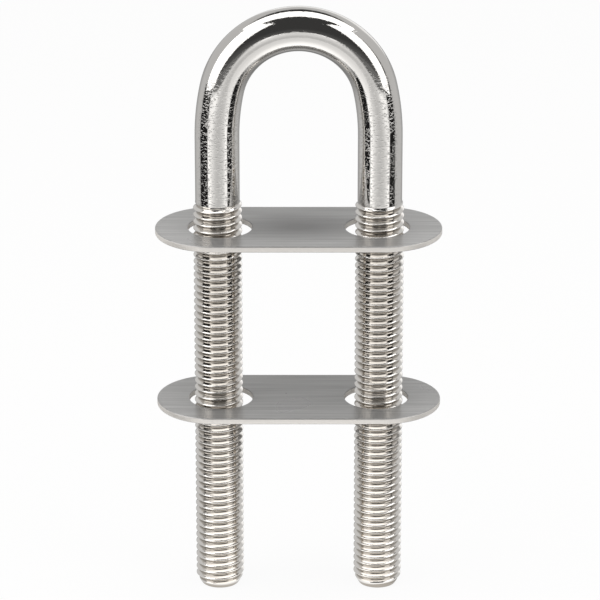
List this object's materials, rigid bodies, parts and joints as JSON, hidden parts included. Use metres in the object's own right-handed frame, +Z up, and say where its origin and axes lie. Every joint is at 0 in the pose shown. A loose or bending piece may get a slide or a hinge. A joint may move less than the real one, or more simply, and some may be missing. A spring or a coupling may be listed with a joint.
{
  "type": "stern eye",
  "caption": "U-shaped eye bolt with threaded legs and oval deck and backing plates, for a strong point through a boat's hull or deck.",
  "frame": {"origin": "midway between the leg axes, on the underside of the deck plate, where the hull's outer face meets it", "axes": "+Z up out of the hull through the eye, X across the two legs, -Y the side seen in the picture"},
  "size_m": [0.0704, 0.029, 0.1515],
  "materials": {
    "polished_steel": "mirror-polished stainless steel bar, its threads rolled and bright",
    "brushed_plate": "stainless steel sheet, satin brushed along its length"
  },
  "bodies": {
    "eye_bolt": {"u_bolt": "polished_steel"},
    "deck_plate": {"deck_plate": "brushed_plate"},
    "backing_plate": {"backing_plate": "brushed_plate"}
  },
  "joints": [
    {"name": "deck_plate_slide", "type": "slide", "parent": "eye_bolt", "child": "deck_plate", "axis": [0, 0, 1], "range_m": [-0.0213, 0.038]},
    {"name": "backing_plate_slide", "type": "slide", "parent": "eye_bolt", "child": "backing_plate", "axis": [0, 0, 1], "range_m": [-0.046, 0.0213]}
  ]
}
